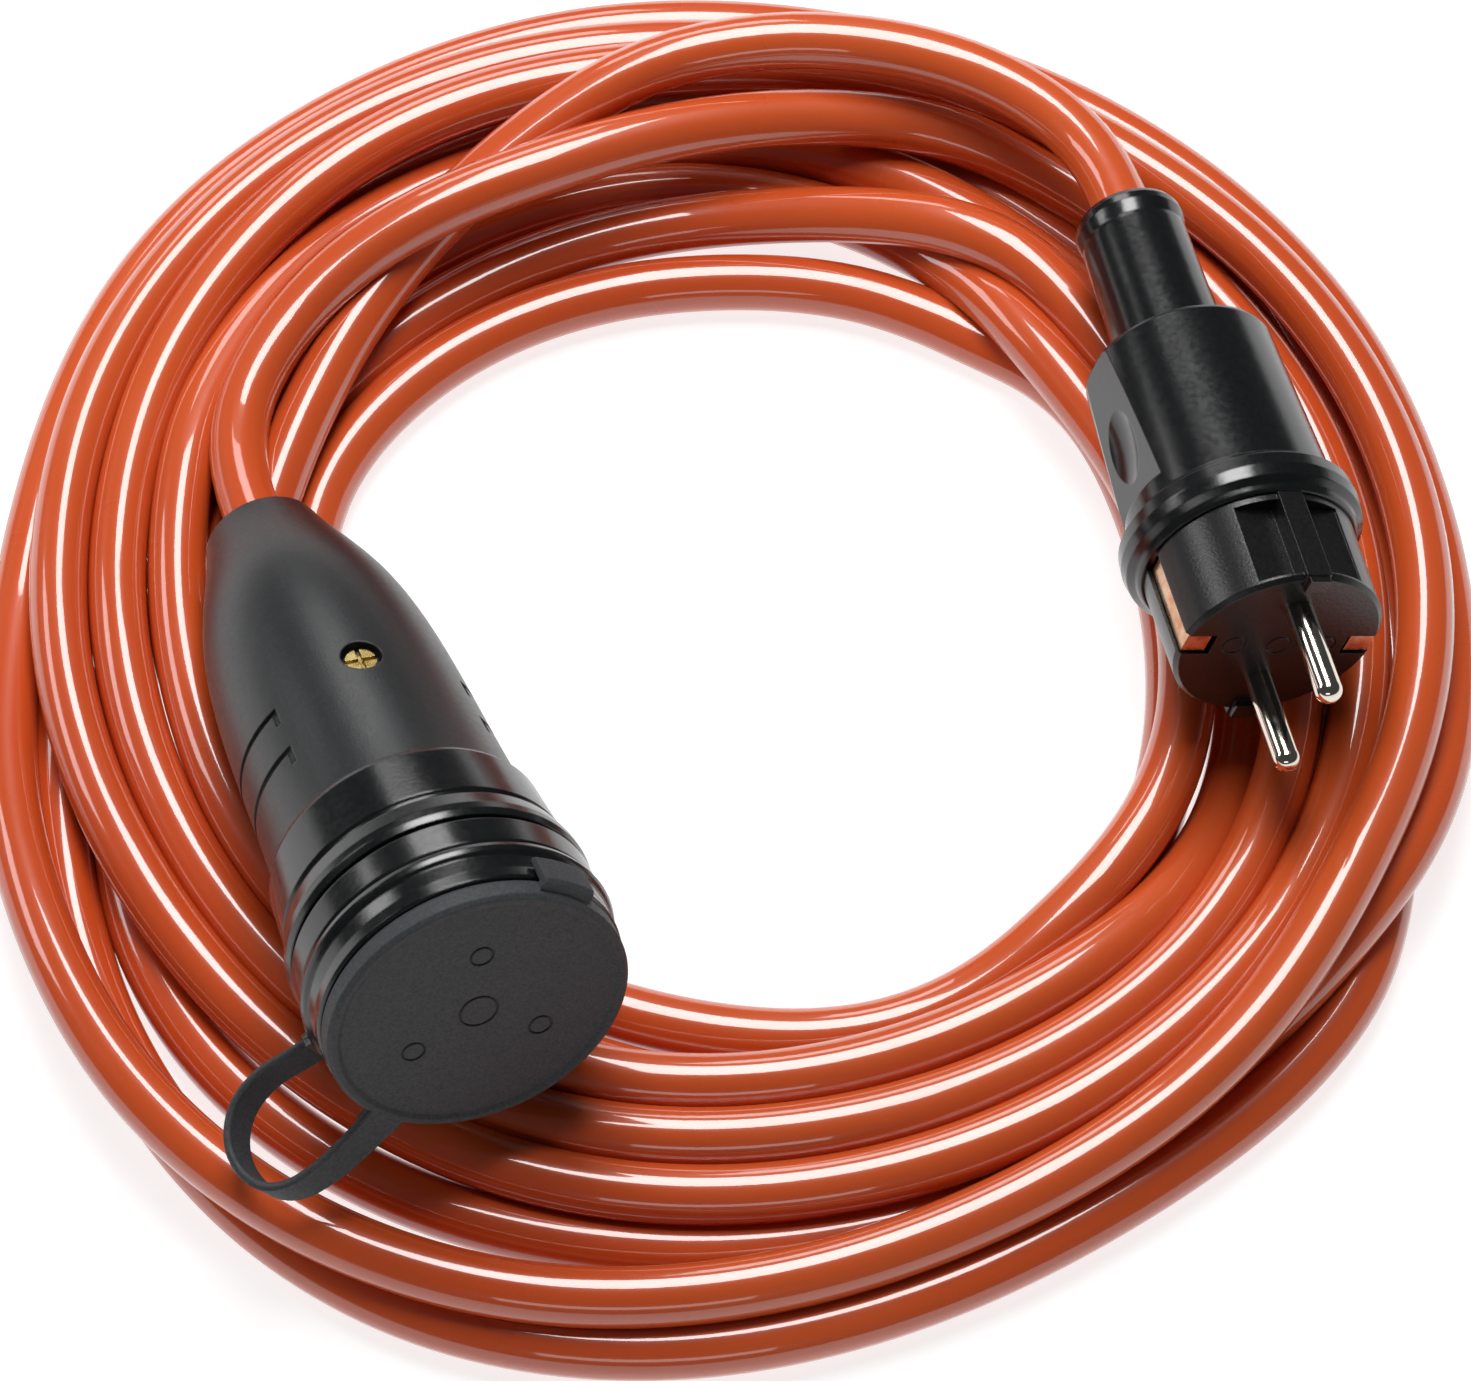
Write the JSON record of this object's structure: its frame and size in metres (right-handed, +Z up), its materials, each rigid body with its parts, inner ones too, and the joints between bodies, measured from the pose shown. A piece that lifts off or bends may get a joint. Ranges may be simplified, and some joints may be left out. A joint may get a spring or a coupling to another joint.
{
  "type": "extension cord",
  "caption": "Coiled heavy-duty extension cord with an earthed plug at one end and a trailing socket with a tethered protective cap at the other.",
  "frame": {"origin": "on the floor under the middle of the coil", "axes": "+Z up, +Y across the coil from the fittings' noses to the side where both leads lie on the turns, +X to the plug's side"},
  "size_m": [0.258, 0.274, 0.0795],
  "materials": {
    "cord_sheath": "glossy flexible PVC",
    "hood_black_gloss": "glossy black thermoplastic rubber",
    "coupling_black": "satin black plastic",
    "insert_black": "moulded black insulator",
    "carrier_grey": "moulded grey plastic",
    "cap_rubber": "matte dark grey elastomer",
    "pin_nickel": "bright nickel plate",
    "contact_brass": "plain brass",
    "earth_copper": "tinned copper strip",
    "screw_steel": "zinc plated",
    "screw_brass": "yellow zinc plate",
    "core_brown": "PVC insulation",
    "core_blue": "PVC insulation",
    "core_earth": "green and yellow PVC insulation"
  },
  "bodies": {
    "cord": {"cord_coil": "cord_sheath", "plug_lead": "cord_sheath", "coupling_lead": "cord_sheath", "plug_cord_end": "cord_sheath", "coupling_cord_end": "cord_sheath", "plug_insert": "insert_black", "plug_pin_line": "pin_nickel", "plug_pin_neutral": "pin_nickel", "plug_earth_bracket": "earth_copper", "plug_terminal_screws": "screw_steel", "plug_hood": "hood_black_gloss", "plug_boot": "hood_black_gloss", "plug_carrier": "carrier_grey", "plug_cord_clamp": "carrier_grey", "plug_clamp_screws": "screw_steel", "plug_core_brown": "core_brown", "plug_core_blue": "core_blue", "plug_core_earth": "core_earth", "coupling_hood": "coupling_black", "coupling_fixing_screw": "screw_brass", "coupling_collar": "coupling_black", "coupling_insert": "insert_black", "coupling_contact_block": "insert_black", "coupling_seal_ring": "cap_rubber", "coupling_contact_line": "contact_brass", "coupling_contact_neutral": "contact_brass", "coupling_earth_bow": "earth_copper", "coupling_terminal_screws": "screw_steel", "coupling_carrier": "carrier_grey", "coupling_cord_clamp": "carrier_grey", "coupling_clamp_screws": "screw_steel", "coupling_core_brown": "core_brown", "coupling_core_blue": "core_blue", "coupling_core_earth": "core_earth", "tether_ring": "cap_rubber", "tether_strap": "cap_rubber"},
    "cap": {"tether_cap": "cap_rubber"}
  },
  "joints": [
    {"name": "cap_swing", "type": "hinge", "parent": "cord", "child": "cap", "pos_m": [-0.06166, -0.10422, 0.03911], "axis": [0.6115, 0.0076, -0.7912], "range_deg": [0, 110], "deforming": ["tether_strap"]}
  ]
}
